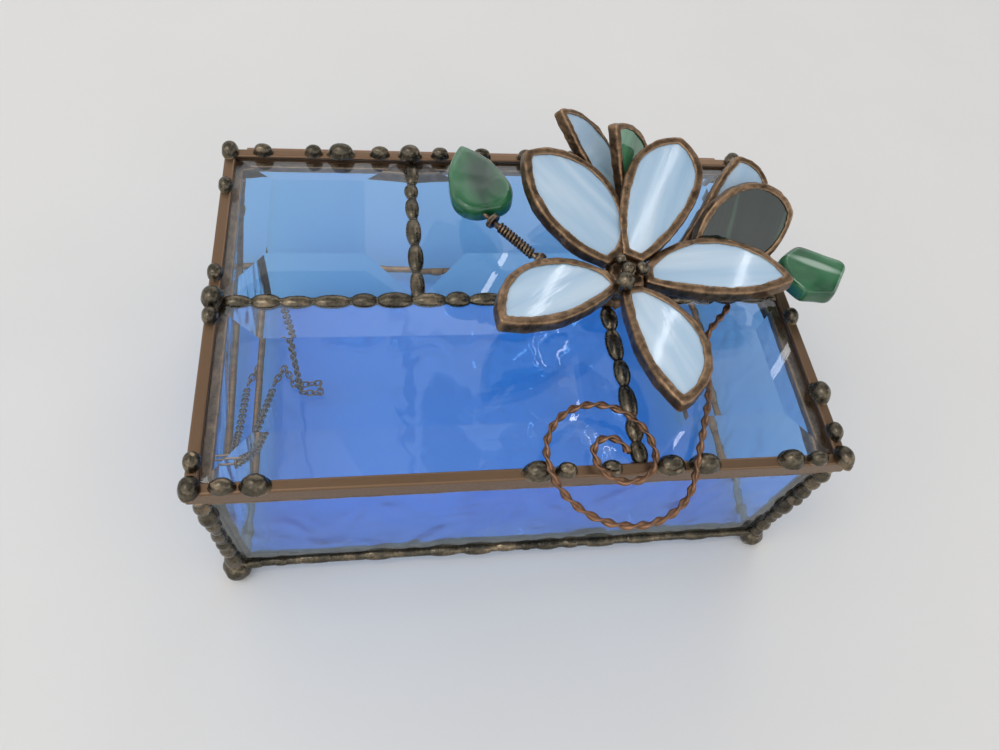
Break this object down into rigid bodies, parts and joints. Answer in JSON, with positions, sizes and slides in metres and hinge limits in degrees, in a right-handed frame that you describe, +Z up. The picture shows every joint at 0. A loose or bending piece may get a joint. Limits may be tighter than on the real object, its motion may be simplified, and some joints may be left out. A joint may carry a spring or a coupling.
{
  "type": "jewelry organizer",
  "caption": "Stained-glass keepsake box with a hinged bevelled-glass lid, a chain stay, a glass flower and a wire scroll lifting handle.",
  "frame": {"origin": "on the resting surface, under the middle of the whole object's plan outline, leaf tip and handle included", "axes": "+X along the box's long side, to the right as seen from the front; +Y towards the hinge; +Z up"},
  "size_m": [0.171, 0.1242, 0.0858],
  "materials": {
    "blue_glass": "clear cobalt blue water glass, gently wavy, polished by fire",
    "bud_glass": "dark green streaky sheet glass, glossy",
    "chain_wire": "fine darkened chain links",
    "channel_metal": "channel metal with an antique copper patina, lightly rubbed",
    "clear_bevel_glass": "clear plate glass, polished, with ground and polished bevels",
    "copper_wire": "twisted copper wire with a brown patina",
    "hinge_metal": "drawn tube and rod with the same patina",
    "leaf_glass": "green cast glass, glossy, softly rounded",
    "opal_glass": "streaky white and pale blue opal sheet glass, glossy",
    "solder": "solder with an antique copper patina, rubbed bright on the beads"
  },
  "bodies": {
    "box": {"back_glass": "blue_glass", "ball_feet": "solder", "bottom_seams": "solder", "chain_wall_eye": "chain_wire", "corner_seam_back_left": "solder", "corner_seam_back_right": "solder", "corner_seam_front_left": "solder", "corner_seam_front_right": "solder", "floor_glass": "blue_glass", "front_glass": "blue_glass", "hinge_rod": "hinge_metal", "left_glass": "blue_glass", "right_glass": "blue_glass", "top_rim": "channel_metal"},
    "lid": {"bud_back_green_glass": "bud_glass", "bud_back_rims": "solder", "bud_back_white_glass": "opal_glass", "bud_right_green_glass": "bud_glass", "bud_right_rims": "solder", "bud_right_white_glass": "opal_glass", "chain_lid_eye": "chain_wire", "flower_support": "solder", "hinge_tube": "hinge_metal", "left_leaf": "leaf_glass", "left_leaf_coil": "copper_wire", "left_leaf_stem": "copper_wire", "lid_bevel_back_long": "clear_bevel_glass", "lid_bevel_back_square": "clear_bevel_glass", "lid_bevel_front_long": "clear_bevel_glass", "lid_bevel_front_square": "clear_bevel_glass", "lid_came_back": "channel_metal", "lid_came_front": "channel_metal", "lid_came_left": "channel_metal", "lid_came_right": "channel_metal", "lid_seam_back": "solder", "lid_seam_front": "solder", "lid_seam_long": "solder", "petal_glass_a": "opal_glass", "petal_glass_b": "opal_glass", "petal_glass_c": "opal_glass", "petal_glass_d": "opal_glass", "petal_glass_e": "opal_glass", "petal_rim_a": "solder", "petal_rim_b": "solder", "petal_rim_c": "solder", "petal_rim_d": "solder", "petal_rim_e": "solder", "right_leaf": "leaf_glass", "solder_balls": "solder", "stamens": "solder", "wire_handle": "copper_wire"},
    "chain_lid_run_1": {"chain_lid_run_1": "chain_wire"},
    "chain_lid_run_2": {"chain_lid_run_2": "chain_wire"},
    "chain_lid_run_3": {"chain_lid_run_3": "chain_wire"},
    "chain_lid_run_4": {"chain_lid_run_4": "chain_wire"},
    "chain_lid_run_5": {"chain_lid_run_5": "chain_wire"},
    "chain_lid_run_6": {"chain_lid_run_6": "chain_wire"},
    "chain_wall_run_1": {"chain_wall_run_1": "chain_wire"},
    "chain_wall_run_2": {"chain_wall_run_2": "chain_wire"}
  },
  "joints": [
    {"name": "lid_hinge", "type": "hinge", "parent": "box", "child": "lid", "pos_m": [-0.00565, 0.06055, 0.05485], "axis": [-1, 0, 0], "range_deg": [0, 118.8]},
    {"name": "chain_wall_1_hinge", "type": "hinge", "parent": "box", "child": "chain_wall_run_1", "pos_m": [-0.07455, -0.03635, 0.05], "axis": [0.9976, -0.0535, -0.0438], "range_deg": [0, 75.32]},
    {"name": "chain_wall_2_hinge", "type": "hinge", "parent": "chain_wall_run_1", "child": "chain_wall_run_2", "pos_m": [-0.07455, -0.01835, 0.028], "axis": [-0.9962, 0.0671, 0.0549], "range_deg": [0, 13.36]},
    {"name": "chain_lid_1_hinge", "type": "hinge", "parent": "lid", "child": "chain_lid_run_1", "pos_m": [-0.06565, 0.00495, 0.0515], "axis": [0.9963, 0.0854, 0.0029], "range_deg": [0, 54.72]},
    {"name": "chain_lid_2_hinge", "type": "hinge", "parent": "chain_lid_run_1", "child": "chain_lid_run_2", "pos_m": [-0.06545, 0.00405, 0.0098], "axis": [0.0881, 0.9959, -0.0211], "range_deg": [0, 89.63]},
    {"name": "chain_lid_3_hinge", "type": "hinge", "parent": "chain_lid_run_2", "child": "chain_lid_run_3", "pos_m": [-0.0598, 0.00355, 0.0098], "axis": [0, 0, -1], "range_deg": [0, 97.36]},
    {"name": "chain_lid_4_hinge", "type": "hinge", "parent": "chain_lid_run_3", "child": "chain_lid_run_4", "pos_m": [-0.05995, 0.0073, 0.0098], "axis": [0, 0, -1], "range_deg": [0, 93.43]},
    {"name": "chain_lid_5_hinge", "type": "hinge", "parent": "chain_lid_run_4", "child": "chain_lid_run_5", "pos_m": [-0.06745, 0.00655, 0.0098], "axis": [0, 0, 1], "range_deg": [0, 69.5]},
    {"name": "chain_lid_6_hinge", "type": "hinge", "parent": "chain_lid_run_5", "child": "chain_lid_run_6", "pos_m": [-0.07075, 0.01325, 0.0098], "axis": [0, 0, -1], "range_deg": [0, 127.92]}
  ],
  "couplings": [
    {"joint": "chain_wall_1_hinge", "follows": "lid_hinge", "ratio": 0.63389},
    {"joint": "chain_wall_2_hinge", "follows": "lid_hinge", "ratio": 0.11241},
    {"joint": "chain_lid_1_hinge", "follows": "lid_hinge", "ratio": 0.46054},
    {"joint": "chain_lid_2_hinge", "follows": "lid_hinge", "ratio": 0.75435},
    {"joint": "chain_lid_3_hinge", "follows": "lid_hinge", "ratio": 0.81943},
    {"joint": "chain_lid_4_hinge", "follows": "lid_hinge", "ratio": 0.78636},
    {"joint": "chain_lid_5_hinge", "follows": "lid_hinge", "ratio": 0.58492},
    {"joint": "chain_lid_6_hinge", "follows": "lid_hinge", "ratio": 1.0767}
  ]
}
